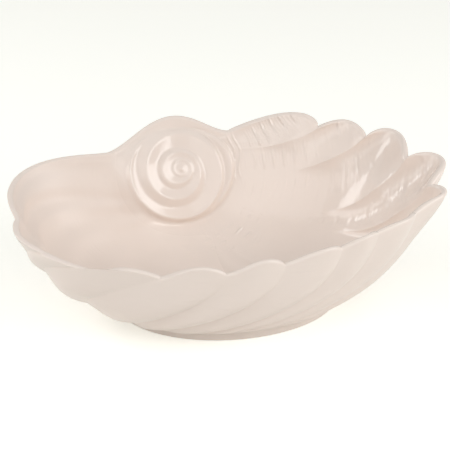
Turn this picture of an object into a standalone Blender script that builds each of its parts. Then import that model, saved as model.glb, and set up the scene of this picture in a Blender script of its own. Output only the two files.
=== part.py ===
"""A deep glazed serving bowl in the form of a sea snail, cast in one piece.

The bowl is one closed skin: the underside, the foot ring, the fluted outside
wall, the scalloped lip, the ribbed inside wall and the coiled boss on the back.
It starts as a turned blank, whose rings are then pressed to their true places.
Metres, +Z up, the table at z = 0 and the middle of the bowl's box at x = y = 0.
"""
import math
from collections import namedtuple

import bmesh
import bpy
import numpy as np

MM = 0.001

# Lip: an ellipse through the notches, from which the scallops stand out
LIP_LENGTH = 328.0 * MM
LIP_WIDTH = 198.0 * MM
LIP_THICKNESS = 4.6 * MM
LIP_ROUND = 0.67

# Foot ring, and the recess inside it
FOOT_LENGTH = 176.0 * MM
FOOT_WIDTH = 132.0 * MM
FOOT_HEIGHT = 6.0 * MM
FOOT_LAND = 7.0 * MM
FOOT_EDGE = 1.2 * MM
RECESS_DEPTH = 4.0 * MM

# Inside floor, above the table
FLOOR_HEIGHT = 12.0 * MM

# Curves of the wall from foot to lip, in front and at the back: how early the
# outside spreads and rises, and how early the inside spreads and how late it rises
OUTSIDE_SPREAD = (0.74, 0.52)
OUTSIDE_RISE = (0.30, 0.41)
INSIDE_SPREAD = (0.45, 0.10)
INSIDE_STEEPNESS = (3.0, 2.6)
BACK_WIDTH = 1.5

# Flutes of the outside wall: sweep from lip to foot, the crest's share of the way to
# the next groove, the two rows that share one flute, and the share of the wall over
# which the flutes run out at the foot
FLUTE_SWEEP = math.radians(62.0)
FLUTE_CREST = 0.67
FLUTE_FULLNESS = 0.75
WIDE_FLUTE = (1, 2)
FLUTE_RUNOUT = 0.15

# Coiled boss on the inside of the back wall
BOSS_DIRECTION = math.radians(100.0)
BOSS_LIP_GAP = 4.0 * MM
BOSS_STAND = 5.0 * MM
BOSS_SLOPE = math.radians(62.0)
BOSS_TURN = math.radians(8.0)
BOSS_HALF_WIDTH = 47.0 * MM
BOSS_HALF_RISE = 34.5 * MM
BOSS_HALF_FALL = 44.0 * MM
BOSS_DOME = 5.0 * MM
BOSS_ROLL = 5.0 * MM
BOSS_WRAP = 5.0 * MM
BOSS_FILLET = 18.0 * MM

# The coil's ridge starts this far from the centre and grows this much a turn
COIL_START = 8.8 * MM
COIL_GROWTH = 2.05
COIL_RELIEF = 0.12
COIL_DEPTH = 3.6 * MM
COIL_CREST = 0.8
COIL_LEVEL = 0.6
COIL_RIM = 0.8
COIL_EYE = 4.0 * MM
KNOB_RADIUS = 3.4 * MM
KNOB_HEIGHT = 1.1 * MM

# One row for each notch of the lip and the scallop that follows it, anticlockwise
# from the boss: the notch's direction in degrees, its height and its distance out
# of the ellipse; the crest's share of the way to the next notch, how softly the edge
# leaves the notch, how far the crest reaches out and rises; how late the groove
# below the notch sweeps aside and the depth of the flute beside it; the depth of the
# rib inside, how soft it is, its bow and how far over the boss's centre it is aimed.
# Lengths are in millimetres.
Scallop = namedtuple("Scallop", "turn height out crest ease reach rise bend flute rib soft bow aim")
SCALLOPS = (
    Scallop(119.5, 99.0, 0.0, 0.46, 1.60, 21.0, 4.0, 1.10, 0.0, 0.0, 1.6, 0.10, 0.03),
    Scallop(176.0, 84.5, 0.0, 0.50, 0.85, 4.0, 2.5, 0.90, 4.8, 3.0, 2.0, 0.17, 0.00),
    Scallop(204.4, 78.5, 0.0, 0.50, 0.85, 2.0, 2.0, 0.70, 4.8, 3.0, 2.2, 0.19, 0.00),
    Scallop(226.8, 73.2, 0.0, 0.46, 1.25, 3.5, 8.0, 0.50, 5.2, 2.8, 2.2, 0.17, 0.00),
    Scallop(244.5, 73.4, 0.0, 0.58, 1.25, 3.5, 8.5, 0.80, 5.0, 2.2, 2.0, 0.12, 0.00),
    Scallop(261.9, 74.6, 0.0, 0.64, 1.25, 3.5, 8.0, 1.60, 4.4, 1.8, 2.0, 0.07, 0.00),
    Scallop(277.1, 78.2, 0.0, 0.64, 1.20, 3.5, 5.0, 1.90, 3.8, 1.8, 1.8, 0.00, 0.00),
    Scallop(293.2, 83.2, 0.0, 0.62, 1.10, 4.0, 3.5, 2.30, 3.4, 2.0, 1.6, -0.03, 0.00),
    Scallop(305.6, 87.6, 0.0, 0.65, 1.00, 4.5, 3.0, 2.60, 3.2, 2.5, 1.4, -0.05, 0.00),
    Scallop(323.0, 90.0, 0.0, 0.72, 0.85, 12.0, 4.0, 2.70, 3.6, 3.5, 1.0, -0.09, 0.02),
    Scallop(345.5, 94.5, -3.0, 0.62, 0.85, 18.5, 6.5, 2.80, 3.6, 5.0, 1.0, -0.06, 0.07),
    Scallop(373.5, 100.5, -9.0, 0.60, 0.85, 15.0, 7.0, 2.80, 3.4, 5.5, 1.0, 0.04, 0.15),
    Scallop(398.6, 104.2, 0.0, 0.45, 0.85, 8.0, 6.0, 2.70, 3.2, 4.5, 1.0, 0.02, 0.19),
    Scallop(415.6, 108.3, 0.0, 0.37, 0.85, 6.5, 9.5, 2.50, 3.2, 3.0, 1.4, 0.00, 0.24),
    Scallop(443.0, 104.0, 0.0, 0.50, 1.60, 6.0, 16.0, 1.80, 0.0, 0.0, 1.6, 0.00, 0.12),
)
SMOOTH_ROWS = (0, len(SCALLOPS) - 1)
SCALLOP_END = 0.85
SCALLOP_INSIDE = 1.7
SCALLOP_START = 0.66
SCALLOP_RUN = 36.0 * MM

# Share of a rib's depth that is lost on the way to the boss, and where that begins
RIB_FADE = 0.85
RIB_FADE_START = 0.15

# Mesh: columns along each scallop, and rings down the skin
SCALLOP_COLUMNS = 7
END_COLUMNS = 10
BOSS_COLUMNS = 13
OUTSIDE_RINGS = 10
RING_EASE = 1.35
LIP_RINGS = 4
INSIDE_RINGS = 13
BOSS_RINGS = 14

COUNT = len(SCALLOPS)
GLAZE_COLOUR = (0.84, 0.75, 0.66, 1.0)


def smooth_step(x):
    """Ease from 0 to 1 as x goes from 0 to 1."""
    x = np.clip(x, 0.0, 1.0)
    return x * x * (3.0 - 2.0 * x)


def row_values(name):
    """One column of the table, as an array."""
    return np.array([getattr(row, name) for row in SCALLOPS], dtype=float)


def through_notches(values, u, turn_over=0.0):
    """Smooth closed curve through one value at each notch, at place u along the lip."""
    padded = np.concatenate([values - turn_over, values, values + turn_over])
    base = np.floor(u).astype(int)
    s = u - base
    i = base % COUNT + COUNT
    start, end = padded[i], padded[i + 1]
    start_slope = (padded[i + 1] - padded[i - 1]) / 2.0
    end_slope = (padded[i + 2] - padded[i]) / 2.0
    lift = (base // COUNT) * turn_over
    return (lift + (2 * s**3 - 3 * s**2 + 1) * start + (s**3 - 2 * s**2 + s) * start_slope
            + (3 * s**2 - 2 * s**3) * end + (s**3 - s**2) * end_slope)


def lip_turn(u):
    """Direction of place u along the lip, in degrees."""
    return through_notches(row_values("turn"), u, 360.0)


def crest_share(u):
    """0 at each notch and 1 at the crest between two notches, and the row of u."""
    base = np.floor(u).astype(int)
    row = base % COUNT
    along = u - base
    start = row_values("ease")[row]
    end = np.where(np.isin(row, SMOOTH_ROWS), start, SCALLOP_END)
    bend = np.log(0.5) / np.log(row_values("crest")[row])
    arch = np.sin(math.pi * along**bend).clip(0.0, 1.0)
    return arch ** (start + (end - start) * along), row


def smooth_outline():
    """Table of direction, height and reach of the lip without its scallops."""
    u = np.linspace(0.0, COUNT, 3001)
    share, row = crest_share(u)
    share = np.where(np.isin(row, SMOOTH_ROWS), share, 0.0)
    height = through_notches(row_values("height"), u) + share * row_values("rise")[row]
    out = through_notches(row_values("out"), u) + share * row_values("reach")[row]
    return lip_turn(u), height * MM, out * MM


OUTLINE_TURN, OUTLINE_HEIGHT, OUTLINE_OUT = smooth_outline()


def lip_height(angle):
    """Height of the walls' top, a round below the lip's, in a direction in radians."""
    first = OUTLINE_TURN[0]
    turn = (np.degrees(angle) - first) % 360.0 + first
    return np.interp(turn, OUTLINE_TURN, OUTLINE_HEIGHT) - LIP_THICKNESS / 2.0


def lip_out(angle):
    """How far the lip's outline stands out of its ellipse, in a direction in radians."""
    first = OUTLINE_TURN[0]
    turn = (np.degrees(angle) - first) % 360.0 + first
    return np.interp(turn, OUTLINE_TURN, OUTLINE_OUT)


def scallop(u):
    """How far the lip reaches out and rises at u beyond its smooth outline."""
    share, row = crest_share(u)
    share = np.where(np.isin(row, SMOOTH_ROWS), 0.0, share)
    return share * row_values("reach")[row] * MM, share * row_values("rise")[row] * MM, share


def flute(u):
    """How far the flute stands out of the wall at u: a soft start and a quick end."""
    base = np.floor(u).astype(int)
    row = base % COUNT
    along = np.where(np.isin(row, WIDE_FLUTE), (u - base + row - WIDE_FLUTE[0]) / 2.0, u - base)
    along = along ** (math.log(0.5) / math.log(FLUTE_CREST))
    return np.sin(math.pi * along).clip(0.0, 1.0) ** FLUTE_FULLNESS * row_values("flute")[row] * MM


def rib(u):
    """How far the rib stands in at u: its full depth at the notch, soft or sharp."""
    share, row = crest_share(u)
    depth = through_notches(row_values("rib"), u).clip(0.0, None)
    return (1.0 - share ** row_values("soft")[row]) * depth * MM


def outward(angle, half_length, half_width):
    """Level unit vector square to an ellipse, at an angle of its circle."""
    x = np.cos(angle) / half_length
    y = np.sin(angle) / half_width
    size = np.hypot(x, y)
    return np.stack([x / size, y / size, np.zeros_like(x)], axis=-1)


def front_to_back(pair, angle):
    """The first number in front and at the ends, changing to the second at the back."""
    return pair[0] + (pair[1] - pair[0]) * np.sin(angle).clip(0.0, 1.0) ** BACK_WIDTH


def outside_wall(u, t):
    """Points of the fluted outside, from the foot (t = 0) to the lip (t = 1)."""
    lip_angle = np.radians(lip_turn(u))
    bend = through_notches(row_values("bend"), u)
    angle = lip_angle - FLUTE_SWEEP * (1.0 - t) ** bend
    over = 2.0 * t * (1.0 - t) * front_to_back(OUTSIDE_SPREAD, angle) + t * t
    up = 2.0 * t * (1.0 - t) * front_to_back(OUTSIDE_RISE, angle) + t * t
    half_length = FOOT_LENGTH / 2.0 + (LIP_LENGTH - FOOT_LENGTH) / 2.0 * over
    half_width = FOOT_WIDTH / 2.0 + (LIP_WIDTH - FOOT_WIDTH) / 2.0 * over
    reach, rise, _ = scallop(u)
    near_lip = smooth_step((t - SCALLOP_START) / (1.0 - SCALLOP_START))
    near_foot = smooth_step(t / FLUTE_RUNOUT)
    out = lip_out(angle) * over + reach * near_lip + flute(u) * (1.0 - near_lip) * near_foot
    points = np.stack([half_length * np.cos(angle), half_width * np.sin(angle),
                       FOOT_HEIGHT + (lip_height(angle) - FOOT_HEIGHT) * up], axis=-1)
    points += out[..., None] * outward(angle, half_length, half_width)
    points[..., 2] += rise * near_lip
    return points


def foot_ring(u, inset, height):
    """Points of an ellipse inset from the foot's edge, at a height."""
    angle = np.radians(lip_turn(u)) - FLUTE_SWEEP
    half_length = FOOT_LENGTH / 2.0 - inset
    half_width = FOOT_WIDTH / 2.0 - inset
    return np.stack([half_length * np.cos(angle), half_width * np.sin(angle),
                     np.full_like(angle, height)], axis=-1)


def inside_base(across, along):
    """Smooth inside wall over a disc: its centre is the floor's, its edge the lip."""
    angle = np.arctan2(along, across)
    radius = np.hypot(across, along)
    spread = front_to_back(INSIDE_SPREAD, angle)
    steepness = front_to_back(INSIDE_STEEPNESS, angle)
    over = (1.0 + spread) * radius - spread * radius**2
    half_length = LIP_LENGTH / 2.0 - LIP_THICKNESS
    half_width = LIP_WIDTH / 2.0 - LIP_THICKNESS
    height = FLOOR_HEIGHT + (lip_height(angle) - FLOOR_HEIGHT) * radius**steepness
    points = np.stack([half_length * over * np.cos(angle),
                       half_width * over * np.sin(angle), height], axis=-1)
    return points + (lip_out(angle) * over)[..., None] * outward(angle, half_length, half_width)


def boss_frame():
    """Centre of the boss, its two directions in the face and the one out of it."""
    top = float(lip_height(BOSS_DIRECTION))
    steepness = float(front_to_back(INSIDE_STEEPNESS, BOSS_DIRECTION))
    height = top - BOSS_HALF_RISE - BOSS_LIP_GAP
    radius = ((height - FLOOR_HEIGHT) / (top - FLOOR_HEIGHT)) ** (1.0 / steepness)
    place = radius * np.array([math.cos(BOSS_DIRECTION), math.sin(BOSS_DIRECTION)])
    right = np.array([math.cos(BOSS_TURN), math.sin(BOSS_TURN), 0.0])
    up = np.array([-math.sin(BOSS_TURN) * math.cos(BOSS_SLOPE),
                   math.cos(BOSS_TURN) * math.cos(BOSS_SLOPE), math.sin(BOSS_SLOPE)])
    face = np.cross(right, up)
    centre = inside_base(place[0], place[1]) + BOSS_STAND * face
    return place, centre, right, up, face


BOSS_PLACE, BOSS_CENTRE, BOSS_RIGHT, BOSS_UP, BOSS_FACE = boss_frame()


def boss_radius(angle):
    """Half size of the boss in a direction of its face, anticlockwise from right."""
    height = np.where(np.sin(angle) > 0.0, BOSS_HALF_RISE, BOSS_HALF_FALL)
    return 1.0 / np.hypot(np.cos(angle) / BOSS_HALF_WIDTH, np.sin(angle) / height)


def coil(radius, angle):
    """Height of the coil over the boss's face: round ridges with sharp grooves."""
    turns = np.log(np.maximum(radius, COIL_START / 8.0) / COIL_START) / math.log(COIL_GROWTH)
    phase = turns + angle / (2.0 * math.pi)
    relief = np.minimum(COIL_RELIEF * radius, COIL_DEPTH) * smooth_step(radius / COIL_EYE - 1.0)
    knob = KNOB_HEIGHT * (1.0 - smooth_step(radius / KNOB_RADIUS))
    return knob + relief * (np.abs(np.cos(math.pi * phase)) ** COIL_CREST - COIL_LEVEL)


def boss_point(angle, share):
    """Point of the boss at a share of its half size, in a direction of its face."""
    edge = boss_radius(angle)
    radius = edge * share
    rim = smooth_step((share - COIL_RIM) / (1.0 - COIL_RIM))
    roll = BOSS_ROLL * (0.65 - 0.35 * np.sin(angle))
    height = BOSS_DOME * (1.0 - share**2) + BOSS_WRAP * (share * np.cos(angle)) ** 2
    height = height + coil(radius, angle) * (1.0 - rim) - roll * rim**2
    return (BOSS_CENTRE + (radius * np.cos(angle))[..., None] * BOSS_RIGHT
            + (radius * np.sin(angle))[..., None] * BOSS_UP + height[..., None] * BOSS_FACE)


def rib_line(u, w):
    """Place on the inside wall's disc, from the lip (w = 0) to the boss (w = 1)."""
    angle = np.radians(lip_turn(u))
    start = np.stack([np.cos(angle), np.sin(angle)], axis=-1)
    aim = through_notches(row_values("aim"), u)[..., None]
    way = BOSS_PLACE * (1.0 + aim) - start
    aside = np.stack([-way[..., 1], way[..., 0]], axis=-1)
    bow = through_notches(row_values("bow"), u) * np.sin(math.pi * w)
    return start + way * w[..., None] + aside * bow[..., None]


def boss_crossing(u):
    """Where each rib line meets the boss: its share, and the direction in the face."""
    w = np.linspace(0.0, 1.0, 801)[:, None] * np.ones_like(u)[None, :]
    place = rib_line(np.broadcast_to(u, w.shape), w)
    offset = inside_base(place[..., 0], place[..., 1]) - BOSS_CENTRE
    angle = np.arctan2(offset @ BOSS_UP, offset @ BOSS_RIGHT)
    inside = np.hypot(offset @ BOSS_UP, offset @ BOSS_RIGHT) < boss_radius(angle)
    first = np.argmax(inside, axis=0)
    pick = np.arange(u.size)
    return w[first, pick], angle[first, pick]


def inside_wall(u, share, crossing, angle):
    """Points of the ribbed inside, from the lip (share = 0) to the boss (share = 1)."""
    def base(offset_u, offset_share):
        place = rib_line(u + offset_u, (share + offset_share) * crossing)
        return inside_base(place[..., 0], place[..., 1])

    step = 1e-3
    points = base(0.0, 0.0)
    across = base(step, 0.0) - base(-step, 0.0)
    down = base(0.0, step) - base(0.0, -step)
    normal = np.cross(across, down)
    normal /= np.linalg.norm(normal, axis=-1, keepdims=True)
    level = outward(np.radians(lip_turn(u)), LIP_LENGTH / 2.0, LIP_WIDTH / 2.0)
    lean = smooth_step(share / 0.2)[..., None]
    direction = level * (1.0 - lean) - normal * lean

    reach, rise, crest = scallop(u)
    edge_place = rib_line(u, crossing)
    edge_base = inside_base(edge_place[..., 0], edge_place[..., 1])
    lip_place = rib_line(u, np.zeros_like(u))
    lip_base = inside_base(lip_place[..., 0], lip_place[..., 1])
    room = np.linalg.norm(lip_base - edge_base, axis=-1)
    near_lip = 1.0 - smooth_step(np.linalg.norm(points - lip_base, axis=-1) / SCALLOP_RUN)
    fade = 1.0 - RIB_FADE * smooth_step((share - RIB_FADE_START) / (1.0 - RIB_FADE_START))
    depth = crest ** (SCALLOP_INSIDE - 1.0) * reach * near_lip - rib(u) * (1.0 - near_lip) * fade

    gap = np.linalg.norm(points - edge_base, axis=-1)
    near_boss = (1.0 - np.clip(gap / np.minimum(room, BOSS_FILLET), 0.0, 1.0)) ** 2
    depth = depth * (1.0 - near_boss)
    points = points + direction * depth[..., None]
    points[..., 2] += rise * near_lip
    return points + (boss_point(angle, np.ones_like(u)) - edge_base) * near_boss[..., None]


def lip_round(u, crossing, angle):
    """Rings over the lip's edge, which leave each wall along its own slope."""
    step = 0.02
    outer = outside_wall(u, np.ones_like(u))
    inner = inside_wall(u, np.zeros_like(u), crossing, angle)
    up_outside = outer - outside_wall(u, np.full_like(u, 1.0 - step))
    up_inside = inner - inside_wall(u, np.full_like(u, step), crossing, angle)
    length = LIP_ROUND * np.linalg.norm(outer - inner, axis=-1, keepdims=True)
    up_outside *= length / np.linalg.norm(up_outside, axis=-1, keepdims=True)
    up_inside *= length / np.linalg.norm(up_inside, axis=-1, keepdims=True)
    rings = []
    for s in np.arange(1, LIP_RINGS + 1) / (LIP_RINGS + 1):
        rings.append((1 - s) ** 3 * outer + 3 * s * (1 - s) ** 2 * (outer + up_outside)
                     + 3 * s**2 * (1 - s) * (inner + up_inside) + s**3 * inner)
    return rings


def lip_places():
    """Places of the mesh's columns along the lip, closer together at the notches."""
    places = []
    for row in range(COUNT):
        columns = SCALLOP_COLUMNS
        if row in SMOOTH_ROWS:
            columns = END_COLUMNS if row == 0 else BOSS_COLUMNS
        even = np.arange(columns) / columns
        eased = (1.0 - np.cos(math.pi * even)) / 2.0
        places.append(row + (even + eased) / 2.0)
    return np.concatenate(places)


def skin_rings():
    """Every ring of the skin, from the underside's centre to the boss's centre."""
    u = lip_places()
    middle = np.zeros((u.size, 3)) + np.array([0.0, 0.0, RECESS_DEPTH])
    rings = [middle]
    edge = foot_ring(u, FOOT_LAND + FOOT_EDGE, RECESS_DEPTH)
    rings.append(middle + (edge - middle) * 0.6)
    rings.append(edge)
    rings.append(foot_ring(u, FOOT_LAND, 0.0))
    rings.append(foot_ring(u, FOOT_EDGE, 0.0))
    rings.append(foot_ring(u, 0.0, FOOT_EDGE))
    for t in 1.0 - (1.0 - np.linspace(0.0, 1.0, OUTSIDE_RINGS + 1)) ** RING_EASE:
        rings.append(outside_wall(u, np.full_like(u, t)))

    crossing, angle = boss_crossing(u)
    rings += lip_round(u, crossing, angle)
    for share in np.linspace(0.0, 1.0, INSIDE_RINGS + 1)[:-1]:
        rings.append(inside_wall(u, np.full_like(u, share), crossing, angle))
    for share in np.linspace(1.0, 0.0, BOSS_RINGS + 1):
        rings.append(boss_point(angle, np.full_like(u, share)))
    return np.array(rings)


def turned_blank(ring_count, column_count):
    """Closed turned blank: ring n lies at height n, and its two ends are points."""
    blank = bmesh.new()
    profile = []
    for ring in range(ring_count):
        radius = 0.0 if ring in (0, ring_count - 1) else 1.0
        profile.append(blank.verts.new((radius, 0.0, float(ring))))
    edges = [blank.edges.new(pair) for pair in zip(profile, profile[1:])]
    bmesh.ops.spin(blank, geom=profile + edges, cent=(0, 0, 0), axis=(0, 0, 1),
                   angle=2 * math.pi, steps=column_count, use_merge=True)
    bmesh.ops.remove_doubles(blank, verts=blank.verts, dist=0.0001)
    return blank


def press(blank, rings):
    """Move each point of the blank to its ring and column of the skin."""
    column_count = rings.shape[1]
    for vert in blank.verts:
        ring = round(vert.co.z)
        column = round(math.atan2(vert.co.y, vert.co.x) / (2 * math.pi) * column_count)
        vert.co = rings[ring, column % column_count]
    blank.normal_update()
    bmesh.ops.recalc_face_normals(blank, faces=blank.faces)


def glaze_material():
    """Cream-white glaze."""
    material = bpy.data.materials.new("cream_glaze")
    material.use_nodes = True
    shader = material.node_tree.nodes["Principled BSDF"]
    shader.inputs["Base Color"].default_value = GLAZE_COLOUR
    shader.inputs["Roughness"].default_value = 0.12
    shader.inputs["Metallic"].default_value = 0.0
    return material


def build_bowl(collection):
    """The whole bowl, as one closed skin."""
    rings = skin_rings()
    low = rings.reshape(-1, 3).min(axis=0)
    high = rings.reshape(-1, 3).max(axis=0)
    rings = rings - np.array([(low[0] + high[0]) / 2.0, (low[1] + high[1]) / 2.0, low[2]])
    blank = turned_blank(rings.shape[0], rings.shape[1])
    press(blank, rings)
    mesh = bpy.data.meshes.new("shell_bowl")
    blank.to_mesh(mesh)
    blank.free()
    mesh.shade_smooth()
    mesh.materials.append(glaze_material())
    bowl = bpy.data.objects.new("shell_bowl", mesh)
    collection.objects.link(bowl)
    return bowl


def main():
    for old in list(bpy.data.objects):
        bpy.data.objects.remove(old, do_unlink=True)
    collection = bpy.data.collections.new("serving_bowl")
    bpy.context.scene.collection.children.link(collection)
    build_bowl(collection)


main()
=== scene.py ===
"""A deep cream-white serving bowl in the form of a sea snail, glazed all over.

The bowl is one piece: a skin turned as a blank and pressed to the underside, foot
ring, fluted outside, scalloped lip, ribbed inside and coiled boss. Fine growth rings
round the boss and hand-drawn strokes outside lie in the glaze. Metres, +Z up.
"""
import math
from collections import namedtuple

import bmesh
import bpy
import numpy as np
from bpy.props import FloatProperty, FloatVectorProperty, IntProperty, PointerProperty
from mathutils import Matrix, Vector


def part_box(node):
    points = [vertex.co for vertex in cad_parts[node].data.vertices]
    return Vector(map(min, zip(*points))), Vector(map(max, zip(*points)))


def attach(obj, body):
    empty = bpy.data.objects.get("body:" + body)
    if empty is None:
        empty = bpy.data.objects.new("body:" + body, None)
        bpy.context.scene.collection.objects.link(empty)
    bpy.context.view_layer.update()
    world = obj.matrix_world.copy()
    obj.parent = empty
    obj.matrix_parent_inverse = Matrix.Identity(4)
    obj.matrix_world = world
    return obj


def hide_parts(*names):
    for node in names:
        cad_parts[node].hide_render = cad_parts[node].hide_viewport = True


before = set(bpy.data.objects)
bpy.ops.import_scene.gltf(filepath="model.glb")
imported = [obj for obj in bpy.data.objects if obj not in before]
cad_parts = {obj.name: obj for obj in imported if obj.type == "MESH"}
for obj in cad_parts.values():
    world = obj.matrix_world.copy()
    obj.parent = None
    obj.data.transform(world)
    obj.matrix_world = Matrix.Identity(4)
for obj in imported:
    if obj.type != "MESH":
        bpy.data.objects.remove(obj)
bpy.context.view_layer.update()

bl_info = {
    "name": "Sea Snail Bowl",
    "version": (1, 0, 0),
    "blender": (4, 5, 0),
    "location": "3D View > Sidebar > Bowl",
    "description": "Builds a glazed sea snail serving bowl and its stage",
    "category": "Add Mesh",
}

MM = 0.001
NODE = "shell_bowl"

# One row for each notch of the lip and the scallop that follows it, anticlockwise
# from the boss: the notch's direction in degrees, its height and its distance out
# of the ellipse; the crest's share of the way to the next notch, how softly the edge
# leaves the notch, how far the crest reaches out and rises; how late the groove
# below the notch sweeps aside and the depth of the flute beside it; the depth of the
# rib inside, how soft it is, its bow and how far past the boss's centre it is aimed.
# Lengths are in millimetres.
Scallop = namedtuple("Scallop", "turn height out crest ease reach rise bend flute rib soft bow aim")
SCALLOPS = (
    Scallop(119.5, 99.0, 0.0, 0.46, 1.60, 21.0, 4.0, 1.10, 0.0, 0.0, 1.6, 0.10, 0.03),
    Scallop(176.0, 84.5, 0.0, 0.50, 0.85, 4.0, 2.5, 0.90, 4.8, 3.0, 2.0, 0.17, 0.00),
    Scallop(204.4, 78.5, 0.0, 0.50, 0.85, 2.0, 2.0, 0.70, 4.8, 3.0, 2.2, 0.19, 0.00),
    Scallop(226.8, 73.2, 0.0, 0.46, 1.25, 3.5, 8.0, 0.50, 5.2, 2.8, 2.2, 0.17, 0.00),
    Scallop(244.5, 73.4, 0.0, 0.58, 1.25, 3.5, 8.5, 0.80, 5.0, 2.2, 2.0, 0.12, 0.00),
    Scallop(261.9, 74.6, 0.0, 0.64, 1.25, 3.5, 8.0, 1.60, 4.4, 1.8, 2.0, 0.07, 0.00),
    Scallop(277.1, 78.2, 0.0, 0.64, 1.20, 3.5, 5.0, 1.90, 3.8, 1.8, 1.8, 0.00, 0.00),
    Scallop(293.2, 83.2, 0.0, 0.62, 1.10, 4.0, 3.5, 2.30, 3.4, 2.0, 1.6, -0.03, 0.00),
    Scallop(305.6, 87.6, 0.0, 0.65, 1.00, 4.5, 3.0, 2.60, 3.2, 2.5, 1.4, -0.05, 0.00),
    Scallop(323.0, 90.0, 0.0, 0.72, 0.85, 12.0, 4.0, 2.70, 3.6, 3.5, 1.0, -0.09, 0.02),
    Scallop(345.5, 94.5, -3.0, 0.62, 0.85, 18.5, 6.5, 2.80, 3.6, 5.0, 1.0, -0.06, 0.07),
    Scallop(373.5, 100.5, -9.0, 0.60, 0.85, 15.0, 7.0, 2.80, 3.4, 5.5, 1.0, 0.04, 0.15),
    Scallop(398.6, 104.2, 0.0, 0.45, 0.85, 8.0, 6.0, 2.70, 3.2, 4.5, 1.0, 0.02, 0.19),
    Scallop(415.6, 108.3, 0.0, 0.37, 0.85, 6.5, 9.5, 2.50, 3.2, 3.0, 1.4, 0.00, 0.24),
    Scallop(443.0, 104.0, 0.0, 0.50, 1.60, 6.0, 16.0, 1.80, 0.0, 0.0, 1.6, 0.00, 0.12),
)
COUNT = len(SCALLOPS)
# Rows beside the boss, whose scallops belong to the smooth outline, and two rows that
# share one flute
SMOOTH_ROWS = (0, COUNT - 1)
WIDE_FLUTE = (1, 2)

# Places along the lip, and how much sooner than elsewhere the ribs there die out: with
# 1 they end halfway to the boss
SHORT_RIBS = (7.5, 9.0, 12.2, 13.0)
SHORT_RIB_SHARES = (0.0, 1.0, 1.0, 0.5)

# Curves of the wall from foot to lip, in front and at the back
OUTSIDE_SPREAD = (0.74, 0.52)
OUTSIDE_RISE = (0.30, 0.41)
INSIDE_SPREAD = (0.45, 0.10)
INSIDE_STEEPNESS = (3.0, 2.6)
BACK_WIDTH = 1.5

# Above 1 the mesh's outside rings are closer together towards the lip
RING_EASE = 1.35
# Places at which the smooth outline and the ribs' way to the boss are worked out
OUTLINE_SAMPLES = 3001
CROSSING_SAMPLES = 801
# Share of the way to the boss over which ribs and hollows turn from level to square
# to the wall
LEAN_RUN = 0.2
# Share of the boss's roll at its sides, and how much less it is above and more below
ROLL_SIDES = 0.65
ROLL_CHANGE = 0.35
# Smallest radius of the coil, as a share of its first radius
COIL_END = 1.0 / 8.0
# Inner ring of the recess, as a share of its half size
RECESS_RING = 0.6
# Middle of the round on the foot's edge, as a share of the round's radius
FOOT_ROUND = 0.3

# Where details of the glaze begin and end, in metres from the boss's centre, across
# its face or up it, and in shares of the way from a notch to a crest
RINGS_RUN_IN = 0.02
RINGS_ACROSS = (-0.03, 0.03)
RINGS_UPWARD = (-0.085, -0.050)
RINGS_CREST = (0.55, 0.97)
SEAM_BELOW = (-0.022, -0.010)
SEAM_ABOVE = (0.018, 0.030)
DULL_DISTANCE = (0.046, 0.062)
DULL_ACROSS = (-0.02, 0.05)

# Growth rings: share that is left on the boss's left and at the notches, sharpness of
# the ridges and of the fine ones between them, and how uneven they are
RINGS_LEFT = 0.12
RINGS_NOTCH = 0.15
RIDGE_SHARPNESS = 9.0
FINE_SHARPNESS = 4.0
FINE_COUNT = 3.0
FINE_SHARE = 0.3
RING_WANDER = 0.9
WANDER_SCALE = 24.0
PATCH_SCALE = 30.0
PATCH_RANGE = (0.35, 0.7)
PATCH_SHARE = 0.8
EVEN_SHARE = 0.3

# Double seam: its waves in radians a metre, its sway and bow, half the distance
# between its ridges and half a ridge's width
SEAM_WAVES = 210.0
SEAM_SWAY = 0.0016
SEAM_BOW = 4.0
SEAM_APART = 0.0022
SEAM_WIDTH = 0.0016

# Strokes outside: how much longer than high they are, their fineness and contrast
STROKE_STRETCH = 14.0
STROKE_FINENESS = 0.055
STROKE_CONTRAST = 4.0

# Soft unevenness of the whole glaze: scale and height of the peel, scale of the cloud
# and its share of the colour and of the roughness
PEEL_SCALE = 140.0
PEEL_HEIGHT = 0.00005
CLOUD_SCALE = 16.0
CLOUD_COLOUR = 0.25
CLOUD_ROUGHNESS = 0.04

# Each softbox: degrees right of the camera and above level, and its sides in metres
SOFTBOXES = {
    "left": ((-58.0, 25.0), (1.0, 0.8)),
    "right": ((68.0, 27.0), (1.3, 0.68)),
    "front": ((-4.0, 36.0), (1.3, 1.0)),
    "side": ((-98.0, 36.0), (0.7, 0.5)),
}
LIGHT_TARGET = (0.0, 0.0, 0.05)
VIEW_TARGET = (-0.0006, 0.0292, 0.050)


def length(name, default, description):
    """A size in metres, from a default in millimetres."""
    return FloatProperty(name=name, description=description, default=default * MM,
                         min=0.0, unit="LENGTH", precision=4)


def angle(name, default, description):
    """An angle, from a default in degrees."""
    return FloatProperty(name=name, description=description, default=math.radians(default),
                         subtype="ANGLE")


def share(name, default, description):
    """A plain number without a unit."""
    return FloatProperty(name=name, description=description, default=default, min=0.0)


def colour(name, default, description):
    """A colour."""
    return FloatVectorProperty(name=name, description=description, default=default,
                               subtype="COLOR", size=3, min=0.0, max=1.0)


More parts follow.
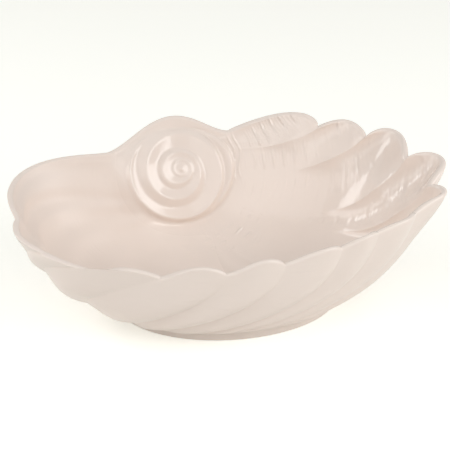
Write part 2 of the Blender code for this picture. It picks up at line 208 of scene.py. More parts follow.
class BowlSizes(bpy.types.PropertyGroup):
    """Sizes of the bowl."""
    lip_length: length("Lip length", 328.0, "Ellipse through the lip's notches, along the bowl")
    lip_width: length("Lip width", 198.0, "Ellipse through the lip's notches, across the bowl")
    lip_thickness: length("Lip thickness", 4.6, "Thickness of the wall at the lip")
    lip_round: share("Lip round", 0.67, "How far the lip's round follows each wall")
    foot_length: length("Foot length", 176.0, "Foot ring, along the bowl")
    foot_width: length("Foot width", 132.0, "Foot ring, across the bowl")
    foot_height: length("Foot height", 6.0, "Height of the foot ring")
    foot_land: length("Foot land", 7.0, "Width of the foot ring's underside")
    foot_edge: length("Foot edge", 1.2, "Round on the foot ring's edges")
    recess_depth: length("Recess depth", 4.0, "Depth of the recess inside the foot ring")
    floor_height: length("Floor height", 12.0, "Height of the inside floor above the table")
    flute_sweep: angle("Flute sweep", 62.0, "How far a groove turns from the lip to the foot")
    flute_crest: share("Flute crest", 0.67, "Share of the way from groove to groove at the crest")
    flute_fullness: share("Flute fullness", 0.75, "Below 1 the flutes are full")
    flute_runout: share("Flute run-out", 0.15, "Share of the wall where grooves fade at the foot")
    scallop_end: share("Scallop end", 0.85, "Below 1 a scallop ends at a sharp notch")
    scallop_inside: share("Scallop inside", 1.7, "How much narrower a scallop's hollow is inside")
    scallop_start: share("Scallop start", 0.66, "Share of the wall's height where scallops begin")
    scallop_run: length("Scallop run", 36.0, "How far down the inside the scallops reach")
    rib_fade: share("Rib fade", 0.85, "Share of a rib's depth that is lost on the way to the boss")
    rib_fade_start: share("Rib fade start", 0.15, "Share of the way where that begins")


class BossSizes(bpy.types.PropertyGroup):
    """Sizes of the coiled boss."""
    direction: angle("Direction", 100.0, "Where the boss sits round the bowl")
    lip_gap: length("Lip gap", 4.0, "From the boss's upper edge to the lip")
    stand: length("Stand", 5.0, "How far the boss stands off the wall")
    slope: angle("Slope", 62.0, "Slope of the boss's face")
    turn: angle("Turn", 8.0, "Turn of the boss's face away from the front")
    half_width: length("Half width", 47.0, "From the boss's centre to its side")
    half_rise: length("Half rise", 34.5, "From the boss's centre to its upper edge")
    half_fall: length("Half fall", 44.0, "From the boss's centre to its lower edge")
    dome: length("Dome", 3.5, "How far the boss's face bulges")
    roll: length("Roll", 5.0, "Drop of the boss's rounded edge")
    wrap: length("Wrap", 5.0, "How far the boss's sides follow the wall")
    fillet: length("Fillet", 18.0, "Run of the wall into the boss")
    coil_start: length("Coil start", 8.8, "First radius of the coil's ridge")
    coil_growth: share("Coil growth", 2.05, "Growth of the coil's radius in one turn")
    coil_relief: share("Coil relief", 0.12, "Depth of the coil's groove against its radius")
    coil_depth: length("Coil depth", 3.6, "Largest depth of the coil's groove")
    coil_crest: share("Coil crest", 0.98, "Towards 1 the slopes are straight and the ridges sharp")
    coil_groove: share("Coil groove", 0.36, "Share of the way out to the next ridge at the groove")
    coil_shift: length("Coil shift", 3.9, "How far the coil's outer turns lie off its centre")
    coil_heavy_side: angle("Coil heavy side", 205.0, "Side of the face to which they are moved")
    coil_close: share("Coil close", 2.0, "How much closer together the outermost turn lies")
    coil_close_start: length("Coil close start", 37.0, "Radius where that begins")
    coil_level: share("Coil level", 0.6, "Level of the coil that lies in the boss's face")
    coil_rim: share("Coil rim", 0.88, "Share of the boss's radius where its edge begins")
    coil_eye: length("Coil eye", 3.2, "Radius of the plain round at the coil's centre")
    knob_radius: length("Knob radius", 2.9, "Radius of the knob at the coil's centre")
    knob_height: length("Knob height", 0.9, "Height of the knob")


class GlazeLook(bpy.types.PropertyGroup):
    """Colours and fine relief of the glaze."""
    body: colour("Glaze", (0.865, 0.757, 0.686), "Cream-white glaze")
    thin: colour("Thin glaze", (0.900, 0.803, 0.737), "Where the glaze runs thin over a crest")
    pooled: colour("Pooled glaze", (0.815, 0.695, 0.602), "Where the glaze gathers in a groove")
    gloss: share("Roughness", 0.11, "Roughness of the glaze")
    left_dullness: share("Left dullness", 0.34, "Added roughness on the left wall and the floor")
    outside_dullness: share("Outside dullness", 0.22, "Added roughness outside")
    ring_gap: length("Ring gap", 3.6, "Distance between growth rings at the boss's centre")
    ring_spread: share("Ring spread", 0.055, "How much the gap grows with the distance")
    ring_height: length("Ring height", 0.46, "Height of a growth ring")
    ring_start: length("Ring start", 52.0, "Distance from the boss's centre where the rings begin")
    seam_radius: length("Seam radius", 49.0, "Distance of the double seam from the boss's centre")
    seam_height: length("Seam height", 0.30, "Height of the double seam beside the boss")
    stroke_gap: length("Stroke gap", 2.2, "Distance between the strokes outside")
    stroke_height: length("Stroke height", 0.07, "Height of a stroke")


class StageLook(bpy.types.PropertyGroup):
    """Floor, light and view."""
    floor: colour("Floor", (0.82, 0.82, 0.80), "Plain pale floor")
    floor_lift: colour("Floor lift", (0.43, 0.43, 0.39), "Added to the floor where it is seen")
    floor_size: length("Floor size", 8000.0, "Side of the floor")
    sky: colour("Sky", (0.33, 0.33, 0.33), "Even light from all round")
    backdrop: colour("Backdrop", (1.0, 1.0, 0.96), "What is seen behind the bowl")
    left_power: share("Left softbox", 5.6, "Power in watts")
    right_power: share("Right softbox", 12.2, "Power in watts")
    front_power: share("Front softbox", 4.0, "Power in watts")
    side_power: share("Side softbox", 4.6, "Power in watts")
    softbox_distance: length("Softbox distance", 1600.0, "From a softbox to the bowl")
    view_height: angle("View height", 26.0, "Angle of the view above level")
    view_turn: angle("View turn", 12.0, "Turn of the bowl against the view")
    view_distance: length("View distance", 1150.0, "From the camera to the bowl")
    view_lens: FloatProperty(name="Lens", description="Focal length in millimetres",
                             default=115.0, min=10.0)


class BowlSettings(bpy.types.PropertyGroup):
    """Everything that a user would change."""
    bowl: PointerProperty(type=BowlSizes)
    boss: PointerProperty(type=BossSizes)
    glaze: PointerProperty(type=GlazeLook)
    stage: PointerProperty(type=StageLook)
    scallop_columns: IntProperty(name="Scallop columns", default=31, min=4,
                                 description="Mesh columns along a scallop")
    end_columns: IntProperty(name="End columns", default=44, min=4,
                             description="Mesh columns along the long left end and the boss's rise")
    outside_rings: IntProperty(name="Outside rings", default=58, min=4,
                               description="Mesh rings down the outside")
    lip_rings: IntProperty(name="Lip rings", default=9, min=3,
                           description="Mesh rings over the lip")
    inside_rings: IntProperty(name="Inside rings", default=74, min=4,
                              description="Mesh rings down the inside")
    boss_rings: IntProperty(name="Boss rings", default=44, min=4,
                            description="Mesh rings of the boss")


def smooth_step(x):
    """Ease from 0 to 1 as x goes from 0 to 1."""
    x = np.clip(x, 0.0, 1.0)
    return x * x * (3.0 - 2.0 * x)


def row_values(name):
    """One column of the table, as an array."""
    return np.array([getattr(row, name) for row in SCALLOPS], dtype=float)


def through_notches(values, u, turn_over=0.0):
    """Smooth closed curve through one value at each notch, at place u along the lip."""
    padded = np.concatenate([values - turn_over, values, values + turn_over])
    base = np.floor(u).astype(int)
    s = u - base
    i = base % COUNT + COUNT
    start, end = padded[i], padded[i + 1]
    start_slope = (padded[i + 1] - padded[i - 1]) / 2.0
    end_slope = (padded[i + 2] - padded[i]) / 2.0
    lift = (base // COUNT) * turn_over
    return (lift + (2 * s**3 - 3 * s**2 + 1) * start + (s**3 - 2 * s**2 + s) * start_slope
            + (3 * s**2 - 2 * s**3) * end + (s**3 - s**2) * end_slope)


def lip_turn(u):
    """Direction of place u along the lip, in degrees."""
    return through_notches(row_values("turn"), u, 360.0)


def outward(turn, half_length, half_width):
    """Level unit vector square to an ellipse, at an angle of its circle."""
    x = np.cos(turn) / half_length
    y = np.sin(turn) / half_width
    size = np.hypot(x, y)
    return np.stack([x / size, y / size, np.zeros_like(x)], axis=-1)


def on_ellipse(turn, half_length, half_width, height):
    """Points of a level ellipse, at an angle of its circle and a height."""
    return np.stack([half_length * np.cos(turn), half_width * np.sin(turn),
                     height + np.zeros_like(turn)], axis=-1)


def front_to_back(pair, turn):
    """The first number in front and at the ends, changing to the second at the back."""
    return pair[0] + (pair[1] - pair[0]) * np.sin(turn).clip(0.0, 1.0) ** BACK_WIDTH


def bowed(t, pull):
    """From 0 to 1 along a curve that is pulled to one side in the middle."""
    return 2.0 * t * (1.0 - t) * pull + t * t


class BowlSkin:
    """The bowl's surface, from the underside's centre to the boss's centre."""

    def __init__(self, settings):
        self.settings = settings
        self.bowl = settings.bowl
        self.boss = settings.boss
        self.outline = self.smooth_outline()
        self.place_boss()

    def crest_share(self, u):
        """0 at each notch and 1 at the crest between two notches, and the row of u."""
        base = np.floor(u).astype(int)
        row = base % COUNT
        along = u - base
        start = row_values("ease")[row]
        end = np.where(np.isin(row, SMOOTH_ROWS), start, self.bowl.scallop_end)
        bend = np.log(0.5) / np.log(row_values("crest")[row])
        arch = np.sin(math.pi * along**bend).clip(0.0, 1.0)
        return arch ** (start + (end - start) * along), row

    def smooth_outline(self):
        """Table of direction, height and reach of the lip without its scallops."""
        u = np.linspace(0.0, COUNT, OUTLINE_SAMPLES)
        crest, row = self.crest_share(u)
        crest = np.where(np.isin(row, SMOOTH_ROWS), crest, 0.0)
        height = through_notches(row_values("height"), u) + crest * row_values("rise")[row]
        out = through_notches(row_values("out"), u) + crest * row_values("reach")[row]
        return lip_turn(u), height * MM, out * MM

    def on_outline(self, turn, column):
        """Value of the smooth outline in a direction in radians."""
        first = self.outline[0][0]
        degrees = (np.degrees(turn) - first) % 360.0 + first
        return np.interp(degrees, self.outline[0], self.outline[column])

    def lip_height(self, turn):
        """Height of the walls' top, a round below the lip's."""
        return self.on_outline(turn, 1) - self.bowl.lip_thickness / 2.0

    def lip_out(self, turn):
        """How far the lip's outline stands out of its ellipse."""
        return self.on_outline(turn, 2)

    def scallop(self, u):
        """How far the lip reaches out and rises at u beyond its smooth outline."""
        crest, row = self.crest_share(u)
        crest = np.where(np.isin(row, SMOOTH_ROWS), 0.0, crest)
        return crest * row_values("reach")[row] * MM, crest * row_values("rise")[row] * MM, crest

    def flute(self, u):
        """How far the flute stands out of the wall at u: a soft start and a quick end."""
        base = np.floor(u).astype(int)
        row = base % COUNT
        shared = (u - base + row - WIDE_FLUTE[0]) / len(WIDE_FLUTE)
        along = np.where(np.isin(row, WIDE_FLUTE), shared, u - base)
        along = along ** (math.log(0.5) / math.log(self.bowl.flute_crest))
        arch = np.sin(math.pi * along).clip(0.0, 1.0) ** self.bowl.flute_fullness
        return arch * row_values("flute")[row] * MM

    def rib(self, u):
        """How far the rib stands in at u: its full depth at the notch, soft or sharp."""
        crest, row = self.crest_share(u)
        depth = through_notches(row_values("rib"), u).clip(0.0, None)
        return (1.0 - crest ** row_values("soft")[row]) * depth * MM

    def outside_wall(self, u, t):
        """Points of the fluted outside, from the foot (t = 0) to the lip (t = 1)."""
        bowl = self.bowl
        lip_angle = np.radians(lip_turn(u))
        bend = through_notches(row_values("bend"), u)
        turn = lip_angle - bowl.flute_sweep * (1.0 - t) ** bend
        over = bowed(t, front_to_back(OUTSIDE_SPREAD, turn))
        up = bowed(t, front_to_back(OUTSIDE_RISE, turn))
        half_length = bowl.foot_length / 2.0 + (bowl.lip_length - bowl.foot_length) / 2.0 * over
        half_width = bowl.foot_width / 2.0 + (bowl.lip_width - bowl.foot_width) / 2.0 * over
        reach, rise, _ = self.scallop(u)
        near_lip = smooth_step((t - bowl.scallop_start) / (1.0 - bowl.scallop_start))
        near_foot = smooth_step(t / bowl.flute_runout)
        out = self.lip_out(turn) * over + reach * near_lip
        out = out + self.flute(u) * (1.0 - near_lip) * near_foot
        height = bowl.foot_height + (self.lip_height(turn) - bowl.foot_height) * up
        points = on_ellipse(turn, half_length, half_width, height)
        points += out[..., None] * outward(turn, half_length, half_width)
        points[..., 2] += rise * near_lip
        return points

    def foot_ring(self, u, inset, height):
        """Points of an ellipse inset from the foot's edge, at a height."""
        turn = np.radians(lip_turn(u)) - self.bowl.flute_sweep
        half_length = self.bowl.foot_length / 2.0 - inset
        half_width = self.bowl.foot_width / 2.0 - inset
        return on_ellipse(turn, half_length, half_width, height)

    def inside_base(self, across, along):
        """Smooth inside wall over a disc: its centre is the floor's, its edge the lip."""
        bowl = self.bowl
        turn = np.arctan2(along, across)
        radius = np.hypot(across, along)
        spread = front_to_back(INSIDE_SPREAD, turn)
        steepness = front_to_back(INSIDE_STEEPNESS, turn)
        over = (1.0 + spread) * radius - spread * radius**2
        half_length = bowl.lip_length / 2.0 - bowl.lip_thickness
        half_width = bowl.lip_width / 2.0 - bowl.lip_thickness
        depth = self.lip_height(turn) - bowl.floor_height
        height = bowl.floor_height + depth * radius**steepness
        points = on_ellipse(turn, half_length * over, half_width * over, height)
        out = self.lip_out(turn) * over
        return points + out[..., None] * outward(turn, half_length, half_width)

    def place_boss(self):
        """Centre of the boss, its two directions in the face and the one out of it."""
        boss = self.boss
        floor = self.bowl.floor_height
        top = float(self.lip_height(boss.direction))
        steepness = float(front_to_back(INSIDE_STEEPNESS, boss.direction))
        height = top - boss.half_rise - boss.lip_gap
        radius = ((height - floor) / (top - floor)) ** (1.0 / steepness)
        self.place = radius * np.array([math.cos(boss.direction), math.sin(boss.direction)])
        self.right = np.array([math.cos(boss.turn), math.sin(boss.turn), 0.0])
        self.up = np.array([-math.sin(boss.turn) * math.cos(boss.slope),
                            math.cos(boss.turn) * math.cos(boss.slope), math.sin(boss.slope)])
        self.face = np.cross(self.right, self.up)
        self.centre = self.inside_base(self.place[0], self.place[1]) + boss.stand * self.face

    def boss_radius(self, turn):
        """Half size of the boss in a direction of its face, anticlockwise from right."""
        height = np.where(np.sin(turn) > 0.0, self.boss.half_rise, self.boss.half_fall)
        return 1.0 / np.hypot(np.cos(turn) / self.boss.half_width, np.sin(turn) / height)

    def coil(self, radius, turn):
        """Height of the coil over the boss's face: its ridge is steep outwards and wide
        inwards, and its outer turns lie off centre and closer together."""
        boss = self.boss
        aside = boss.coil_shift * smooth_step((radius - boss.coil_start) / boss.coil_start)
        around = radius - aside * np.cos(turn - boss.coil_heavy_side)
        around = around + boss.coil_close * (around - boss.coil_close_start).clip(0.0, None)
        around = np.maximum(around, boss.coil_start * COIL_END)
        turns = np.log(around / boss.coil_start) / math.log(boss.coil_growth)
        phase = turns + turn / (2.0 * math.pi)
        phase = phase - np.floor(phase)
        relief = np.minimum(boss.coil_relief * radius, boss.coil_depth)
        relief = relief * smooth_step(radius / boss.coil_eye - 1.0)
        knob = boss.knob_height * (1.0 - smooth_step(radius / boss.knob_radius))
        falling = phase / boss.coil_groove
        rising = (phase - boss.coil_groove) / (1.0 - boss.coil_groove)
        swing = math.pi * np.where(falling < 1.0, falling, 1.0 + rising)
        slopes = np.arcsin(boss.coil_crest * np.cos(swing)) / math.asin(boss.coil_crest)
        return knob + relief * (0.5 + 0.5 * slopes - boss.coil_level)

    def boss_point(self, turn, part):
        """Point of the boss at a share of its half size, in a direction of its face."""
        boss = self.boss
        radius = self.boss_radius(turn) * part
        rim = smooth_step((part - boss.coil_rim) / (1.0 - boss.coil_rim))
        roll = boss.roll * (ROLL_SIDES - ROLL_CHANGE * np.sin(turn))
        height = boss.dome * (1.0 - part**2) + boss.wrap * (part * np.cos(turn)) ** 2
        height = height + self.coil(radius, turn) * (1.0 - rim) - roll * rim**2
        return (self.centre + (radius * np.cos(turn))[..., None] * self.right
                + (radius * np.sin(turn))[..., None] * self.up + height[..., None] * self.face)

    def rib_line(self, u, w):
        """Place on the inside wall's disc, from the lip (w = 0) to the boss (w = 1)."""
        turn = np.radians(lip_turn(u))
        start = np.stack([np.cos(turn), np.sin(turn)], axis=-1)
        aim = through_notches(row_values("aim"), u)[..., None]
        way = self.place * (1.0 + aim) - start
        aside = np.stack([-way[..., 1], way[..., 0]], axis=-1)
        bow = through_notches(row_values("bow"), u) * np.sin(math.pi * w)
        return start + way * w[..., None] + aside * bow[..., None]

    def boss_crossing(self, u):
        """Where each rib line meets the boss: its share, and the direction in the face."""
        w = np.linspace(0.0, 1.0, CROSSING_SAMPLES)[:, None] * np.ones_like(u)[None, :]
        place = self.rib_line(np.broadcast_to(u, w.shape), w)
        offset = self.inside_base(place[..., 0], place[..., 1]) - self.centre
        turn = np.arctan2(offset @ self.up, offset @ self.right)
        inside = np.hypot(offset @ self.up, offset @ self.right) < self.boss_radius(turn)
        first = np.argmax(inside, axis=0)
        pick = np.arange(u.size)
        return w[first, pick], turn[first, pick]

    def inside_wall(self, u, part, crossing, turn):
        """Points of the ribbed inside, from the lip (part = 0) to the boss (part = 1)."""
        bowl = self.bowl

        def base(offset_u, offset_part):
            place = self.rib_line(u + offset_u, (part + offset_part) * crossing)
            return self.inside_base(place[..., 0], place[..., 1])

        step = 1e-3
        points = base(0.0, 0.0)
        across = base(step, 0.0) - base(-step, 0.0)
        down = base(0.0, step) - base(0.0, -step)
        normal = np.cross(across, down)
        normal /= np.linalg.norm(normal, axis=-1, keepdims=True)
        level = outward(np.radians(lip_turn(u)), bowl.lip_length / 2.0, bowl.lip_width / 2.0)
        lean = smooth_step(part / LEAN_RUN)[..., None]
        direction = level * (1.0 - lean) - normal * lean

        reach, rise, crest = self.scallop(u)
        edge_place = self.rib_line(u, crossing)
        edge_base = self.inside_base(edge_place[..., 0], edge_place[..., 1])
        lip_place = self.rib_line(u, np.zeros_like(u))
        lip_base = self.inside_base(lip_place[..., 0], lip_place[..., 1])
        room = np.linalg.norm(lip_base - edge_base, axis=-1)
        from_lip = np.linalg.norm(points - lip_base, axis=-1)
        near_lip = 1.0 - smooth_step(from_lip / bowl.scallop_run)
        sooner = np.interp(u, SHORT_RIBS, SHORT_RIB_SHARES)
        fade_run = (part - bowl.rib_fade_start) / (1.0 - bowl.rib_fade_start) * (1.0 + sooner)
        fade = 1.0 - (bowl.rib_fade + (1.0 - bowl.rib_fade) * sooner) * smooth_step(fade_run)
        hollow = crest ** (bowl.scallop_inside - 1.0) * reach * near_lip
        depth = hollow - self.rib(u) * (1.0 - near_lip) * fade

        gap = np.linalg.norm(points - edge_base, axis=-1)
        near_boss = (1.0 - np.clip(gap / np.minimum(room, self.boss.fillet), 0.0, 1.0)) ** 2
        depth = depth * (1.0 - near_boss)
        points = points + direction * depth[..., None]
        points[..., 2] += rise * near_lip
        return points + (self.boss_point(turn, np.ones_like(u)) - edge_base) * near_boss[..., None]

    def lip_shares(self):
        """How far over the lip each of its rings lies, from the outside to the inside."""
        count = self.settings.lip_rings
        return np.arange(1, count + 1) / (count + 1)

    def lip_rings(self, u, crossing, turn):
        """Rings over the lip's edge, which leave each wall along its own slope."""
        step = 0.02
        outer = self.outside_wall(u, np.ones_like(u))
        inner = self.inside_wall(u, np.zeros_like(u), crossing, turn)
        up_outside = outer - self.outside_wall(u, np.full_like(u, 1.0 - step))
        up_inside = inner - self.inside_wall(u, np.full_like(u, step), crossing, turn)
        size = self.bowl.lip_round * np.linalg.norm(outer - inner, axis=-1, keepdims=True)
        up_outside *= size / np.linalg.norm(up_outside, axis=-1, keepdims=True)
        up_inside *= size / np.linalg.norm(up_inside, axis=-1, keepdims=True)
        rings = []
        for s in self.lip_shares():
            rings.append((1 - s) ** 3 * outer + 3 * s * (1 - s) ** 2 * (outer + up_outside)
                         + 3 * s**2 * (1 - s) * (inner + up_inside) + s**3 * inner)
        return rings

    def lip_places(self):
        """Places of the mesh's columns along the lip, closer together at the notches."""
        places = []
        for row in range(COUNT):
            columns = self.settings.scallop_columns
            if row in SMOOTH_ROWS:
                columns = self.settings.end_columns
            even = np.arange(columns) / columns
            eased = (1.0 - np.cos(math.pi * even)) / 2.0
            places.append(row + (even + eased) / 2.0)
        return np.concatenate(places)

    def rings(self):
        """Every ring of the skin, how far each is inside the bowl from 0 to 1, and how
        far each column is from the notches, also from 0 to 1."""
        bowl = self.bowl
        settings = self.settings
        u = self.lip_places()
        middle = np.zeros((u.size, 3)) + np.array([0.0, 0.0, bowl.recess_depth])
        recess = self.foot_ring(u, bowl.foot_land + bowl.foot_edge, bowl.recess_depth)
        rings = [middle, middle + (recess - middle) * RECESS_RING, recess]
        cut = bowl.foot_edge * FOOT_ROUND
        for inset, height in ((bowl.foot_land, 0.0), (bowl.foot_edge, 0.0), (cut, cut),
                              (0.0, bowl.foot_edge)):
            rings.append(self.foot_ring(u, inset, height))
        for t in 1.0 - (1.0 - np.linspace(0.0, 1.0, settings.outside_rings + 1)) ** RING_EASE:
            rings.append(self.outside_wall(u, np.full_like(u, t)))
        inside = [0.0] * len(rings)

        crossing, turn = self.boss_crossing(u)
        rings += self.lip_rings(u, crossing, turn)
        inside += list(self.lip_shares())
        for part in np.linspace(0.0, 1.0, settings.inside_rings + 1)[:-1]:
            rings.append(self.inside_wall(u, np.full_like(u, part), crossing, turn))
            inside.append(1.0)
        for part in np.linspace(1.0, 0.0, settings.boss_rings + 1):
            rings.append(self.boss_point(turn, np.full_like(u, part)))
            inside.append(1.0)
        return np.array(rings), np.array(inside), self.crest_share(u)[0]


def turned_blank(ring_count, column_count):
    """Closed turned blank: ring n lies at height n, and its two ends are points."""
    blank = bmesh.new()
    profile = []
    for ring in range(ring_count):
        radius = 0.0 if ring in (0, ring_count - 1) else 1.0
        profile.append(blank.verts.new((radius, 0.0, float(ring))))
    edges = [blank.edges.new(pair) for pair in zip(profile, profile[1:])]
    bmesh.ops.spin(blank, geom=profile + edges, cent=(0, 0, 0), axis=(0, 0, 1),
                   angle=2 * math.pi, steps=column_count, use_merge=True)
    bmesh.ops.remove_doubles(blank, verts=blank.verts, dist=0.0001)
    return blank


def press(blank, rings, inside, middle, shift):
    """Move each point of the blank to its ring and column of the skin, and write down
    how far it is inside and from the notches. Both layers are made before either is
    looked up, since a new layer moves the others."""
    column_count = rings.shape[1]
    blank.verts.layers.float.new("inside")
    blank.verts.layers.float.new("middle")
    inside_layer = blank.verts.layers.float["inside"]
    middle_layer = blank.verts.layers.float["middle"]
    for vert in blank.verts:
        ring = round(vert.co.z)
        column = round(math.atan2(vert.co.y, vert.co.x) / (2 * math.pi) * column_count)
        column %= column_count
        vert.co = rings[ring, column] + shift
        vert[inside_layer] = inside[ring]
        vert[middle_layer] = middle[column]
    blank.normal_update()
    bmesh.ops.recalc_face_normals(blank, faces=blank.faces)


class Signal:
    """An output socket of a material, which can be used in sums like a number."""

    def __init__(self, board, socket):
        self.board = board
        self.socket = socket

    def maths(self, operation, first, second=0.0):
        """A Math node."""
        return self.board.node("ShaderNodeMath", {"operation": operation}, {0: first, 1: second})

    def __add__(self, other):
        return self.maths("ADD", self, other)

    def __sub__(self, other):
        return self.maths("SUBTRACT", self, other)

    def __rsub__(self, other):
        return self.maths("SUBTRACT", other, self)

    def __mul__(self, other):
        return self.maths("MULTIPLY", self, other)

    def __truediv__(self, other):
        return self.maths("DIVIDE", self, other)

    def __pow__(self, other):
        return self.maths("POWER", self, other)

    def call(self, operation, other=0.0):
        """A Math node with one more number, such as a sine or the larger of two."""
        return self.maths(operation, self, other)

    def between(self, low, high):
        """0 below the low number, 1 above the high one, eased in between."""
        return self.board.node("ShaderNodeMapRange", {"interpolation_type": "SMOOTHSTEP"},
                               {"Value": self, "From Min": low, "From Max": high})

    def beside(self, output):
        """Another output of the same node."""
        return Signal(self.board, self.socket.node.outputs[output])


class Board:
    """The nodes of one material or world."""

    def __init__(self, owner):
        owner.use_nodes = True
        self.tree = owner.node_tree
        self.shader = [node for node in self.tree.nodes if "OUTPUT" not in node.type][0]

    def plug(self, socket, value):
        """Set a socket to a number, point or colour, or link a signal to it."""
        if isinstance(value, Signal):
            self.tree.links.new(value.socket, socket)
        elif socket.type == "RGBA":
            socket.default_value = (*value, 1.0)
        else:
            socket.default_value = value

    def node(self, kind, settings=None, sockets=None, output=0):
        """Any node: its type, its settings, which are set first, and its sockets."""
        node = self.tree.nodes.new(kind)
        for name, value in (settings or {}).items():
            setattr(node, name, value)
        for name, value in (sockets or {}).items():
            self.plug(node.inputs[name], value)
        return Signal(self, node.outputs[output])

    def blend(self, factor, first, second):
        """A mix of two colours."""
        return self.node("ShaderNodeMix", {"data_type": "RGBA"},
                         {0: factor, 6: first, 7: second}, output=2)

    def noise(self, place, scale, detail=2.0):
        """Soft noise from 0 to 1 over a place."""
        return self.node("ShaderNodeTexNoise", {},
                         {"Vector": place, "Scale": scale, "Detail": detail})

    def layer(self, name):
        """A number that is written on the mesh."""
        return self.node("ShaderNodeAttribute", {"attribute_name": name}, output="Fac")

    def vector(self, operation, first, second, output="Vector"):
        """A Vector Math node."""
        return self.node("ShaderNodeVectorMath", {"operation": operation},
                         {0: first, 1: second}, output=output)

    def seen(self):
        """1 for rays that show a surface to the eye, 0 for those that only carry light."""
        camera = self.node("ShaderNodeLightPath", output="Is Camera Ray")
        shown = camera + camera.beside("Is Glossy Ray") + camera.beside("Is Transmission Ray")
        return shown.call("MINIMUM", 1.0)

    def finish(self, **sockets):
        """Set or link the sockets of the material's own shader."""
        for name, value in sockets.items():
            self.plug(self.shader.inputs[name.replace("_", " ").title()], value)


def growth_rings(board, look, place, distance, across):
    """Narrow ridges round the boss, whose gap grows with the distance."""
    wander = board.noise(place, WANDER_SCALE)
    count = ((distance * look.ring_spread + look.ring_gap).call("LOGARITHM", math.e)
             / look.ring_spread + (wander - 0.5) * RING_WANDER)
    ridge = (count * math.pi).call("COSINE").call("ABSOLUTE") ** RIDGE_SHARPNESS
    fine = (count * (FINE_COUNT * math.pi)).call("COSINE").call("ABSOLUTE") ** FINE_SHARPNESS
    patchy = board.noise(place, PATCH_SCALE, detail=1.0).between(*PATCH_RANGE)
    begin = distance.between(look.ring_start, look.ring_start + RINGS_RUN_IN)
    side = across.between(*RINGS_ACROSS) * (1.0 - RINGS_LEFT) + RINGS_LEFT
    both = ridge * (patchy * PATCH_SHARE + EVEN_SHARE) + fine * patchy * FINE_SHARE
    return both * begin * side * look.ring_height


def double_seam(look, across, upward):
    """Two thin wavy ridges just right of the boss."""
    sway = (upward * SEAM_WAVES).call("SINE") * SEAM_SWAY
    gap = across - sway - look.seam_radius + upward * upward * SEAM_BOW
    pair = (gap.call("ABSOLUTE") - SEAM_APART).call("ABSOLUTE")
    ridge = 1.0 - pair.between(0.0, SEAM_WIDTH)
    reach = upward.between(*SEAM_BELOW) * (1.0 - upward.between(*SEAM_ABOVE))
    return ridge * reach * look.seam_height


def brush_strokes(board, look, place):
    """Faint strokes outside, nearly level and never regular."""
    flat = board.vector("MULTIPLY", place, (1.0, 1.0, STROKE_STRETCH))
    streaks = board.noise(flat, STROKE_FINENESS / look.stroke_gap, detail=3.0)
    return streaks * (look.stroke_height * STROKE_CONTRAST)


def glaze_material(settings, skin, shift):
    """Cream-white glaze over growth rings and a seam inside and strokes outside, duller
    on the left wall, the floor and the outside."""
    look = settings.glaze
    centre = tuple(skin.centre + shift)
    material = bpy.data.materials.new("cream_glaze")
    board = Board(material)
    place = board.node("ShaderNodeTexCoord", output="Object")
    inside = board.layer("inside")
    middle = board.layer("middle")
    offset = board.vector("SUBTRACT", place, centre)
    distance = board.vector("DISTANCE", place, centre, output="Value")
    across = board.vector("DOT_PRODUCT", offset, tuple(skin.right), output="Value")
    upward = board.vector("DOT_PRODUCT", offset, tuple(skin.up), output="Value")
    rings = growth_rings(board, look, place, distance, across)
    seam = double_seam(look, across, upward)
    strokes = brush_strokes(board, look, place)
    peel = board.noise(place, PEEL_SCALE) * PEEL_HEIGHT
    valley = middle.between(*RINGS_CREST) * (1.0 - RINGS_NOTCH) + RINGS_NOTCH
    rings = rings * valley * upward.between(*RINGS_UPWARD)
    relief = (rings + seam) * inside + strokes * (1.0 - inside) + peel
    normal = board.node("ShaderNodeBump", {}, {"Strength": 1.0, "Distance": 1.0, "Height": relief})

    cloud = board.noise(place, CLOUD_SCALE, detail=3.0)
    tone = board.blend(cloud, look.pooled, look.thin)
    left = distance.between(*DULL_DISTANCE) * (1.0 - across.between(*DULL_ACROSS)) * inside
    dull = left * look.left_dullness + (1.0 - inside) * look.outside_dullness
    even = look.gloss - CLOUD_ROUGHNESS / 2.0
    board.finish(base_color=board.blend(CLOUD_COLOUR, look.body, tone), metallic=0.0,
                 normal=normal, roughness=cloud * CLOUD_ROUGHNESS + dull + even)
    return material


class BOWL_OT_body(bpy.types.Operator):
    """Build the whole bowl as one glazed skin"""
    bl_idname = "bowl.body"
    bl_label = "Bowl"

    def execute(self, context):
        settings = context.scene.sea_bowl
        skin = BowlSkin(settings)
        rings, inside, middle = skin.rings()
        low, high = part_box(NODE)
        flat = rings.reshape(-1, 3)
        centre = (flat.min(axis=0) + flat.max(axis=0)) / 2.0
        shift = np.array([(low[0] + high[0]) / 2.0 - centre[0],
                          (low[1] + high[1]) / 2.0 - centre[1], low[2]])
        blank = turned_blank(rings.shape[0], rings.shape[1])
        press(blank, rings, inside, middle, shift)
        mesh = bpy.data.meshes.new("glazed_bowl")
        blank.to_mesh(mesh)
        blank.free()
        mesh.shade_smooth()
        mesh.materials.append(glaze_material(settings, skin, shift))
        bowl = bpy.data.objects.new("glazed_bowl", mesh)
        context.scene.collection.objects.link(bowl)
        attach(bowl, "root")
        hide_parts(NODE)
        return {"FINISHED"}


class BOWL_OT_stage(bpy.types.Operator):
    """Lay the floor, hang the lights and set up the view"""
    bl_idname = "bowl.stage"
    bl_label = "Stage"

    def execute(self, context):
        look = context.scene.sea_bowl.stage
        build_floor(context, look)
        build_world(context, look)
        for side, (direction, size) in SOFTBOXES.items():
            power = getattr(look, side + "_power")
            add_softbox(context, look, side + "_softbox", direction, size, power)
        set_view(context, look)
        context.scene.view_settings.view_transform = "Standard"
        return {"FINISHED"}


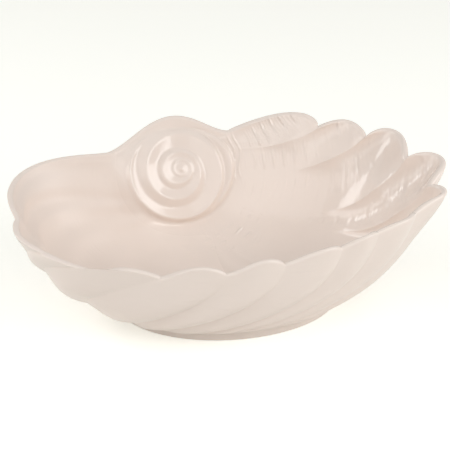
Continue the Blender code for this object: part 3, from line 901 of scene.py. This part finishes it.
def build_floor(context, look):
    """A plain pale floor, lifted towards white where it is seen."""
    sheet = bmesh.new()
    bmesh.ops.create_grid(sheet, x_segments=2, y_segments=2, size=look.floor_size / 2.0)
    mesh = bpy.data.meshes.new("floor")
    sheet.to_mesh(mesh)
    sheet.free()
    floor = bpy.data.objects.new("floor", mesh)
    context.scene.collection.objects.link(floor)
    material = bpy.data.materials.new("pale_floor")
    board = Board(material)
    lift = board.blend(board.seen(), (0.0, 0.0, 0.0), look.floor_lift)
    board.finish(base_color=look.floor, roughness=0.9, emission_color=lift, emission_strength=1.0)
    mesh.materials.append(material)


def build_world(context, look):
    """Even light from all round, with a white backdrop where it is seen."""
    world = bpy.data.worlds.new("studio")
    board = Board(world)
    board.finish(color=board.blend(board.seen(), look.sky, look.backdrop), strength=1.0)
    context.scene.world = world


def add_softbox(context, look, name, direction, size, power):
    """A soft box light that faces the bowl."""
    light = bpy.data.lights.new(name, "AREA")
    light.shape = "RECTANGLE"
    light.size, light.size_y = size
    light.energy = power
    lamp = bpy.data.objects.new(name, light)
    turn = math.radians(direction[0]) - look.view_turn
    rise = math.radians(direction[1])
    away = Vector((math.sin(turn) * math.cos(rise), -math.cos(turn) * math.cos(rise),
                   math.sin(rise))) * look.softbox_distance
    lamp.location = away + Vector(LIGHT_TARGET)
    lamp.rotation_euler = (-away).to_track_quat("-Z", "Y").to_euler()
    context.scene.collection.objects.link(lamp)


def set_view(context, look):
    """Camera at the photograph's angle."""
    lens = bpy.data.cameras.new("view")
    lens.lens = look.view_lens
    lens.sensor_width = 36.0
    lens.clip_start = 0.01
    lens.clip_end = 50.0
    level = math.cos(look.view_height) * look.view_distance
    offset = Vector((-math.sin(look.view_turn) * level, -math.cos(look.view_turn) * level,
                     math.sin(look.view_height) * look.view_distance))
    camera = bpy.data.objects.new("view", lens)
    camera.location = Vector(VIEW_TARGET) + offset
    camera.rotation_euler = (-offset).to_track_quat("-Z", "Y").to_euler()
    context.scene.collection.objects.link(camera)
    context.scene.camera = camera


class BOWL_PT_panel(bpy.types.Panel):
    """Sizes, colours and build steps of the bowl"""
    bl_label = "Sea Snail Bowl"
    bl_idname = "BOWL_PT_panel"
    bl_space_type = "VIEW_3D"
    bl_region_type = "UI"
    bl_category = "Bowl"

    def draw(self, context):
        settings = context.scene.sea_bowl
        layout = self.layout
        for title, group in (("Bowl", settings.bowl), ("Boss", settings.boss),
                             ("Glaze", settings.glaze), ("Stage", settings.stage)):
            box = layout.box()
            box.label(text=title)
            for name in group.__annotations__:
                box.prop(group, name)
        layout.operator(BOWL_OT_body.bl_idname)
        layout.operator(BOWL_OT_stage.bl_idname)


CLASSES = (BowlSizes, BossSizes, GlazeLook, StageLook, BowlSettings,
           BOWL_OT_body, BOWL_OT_stage, BOWL_PT_panel)


def register():
    """Add the classes and the settings."""
    for item in CLASSES:
        bpy.utils.register_class(item)
    bpy.types.Scene.sea_bowl = PointerProperty(type=BowlSettings)


def unregister():
    """Take away the settings and the classes."""
    del bpy.types.Scene.sea_bowl
    for item in reversed(CLASSES):
        bpy.utils.unregister_class(item)


def main():
    """Build the bowl and its stage."""
    register()
    bpy.ops.bowl.body()
    bpy.ops.bowl.stage()


if __name__ == "__main__":
    main()
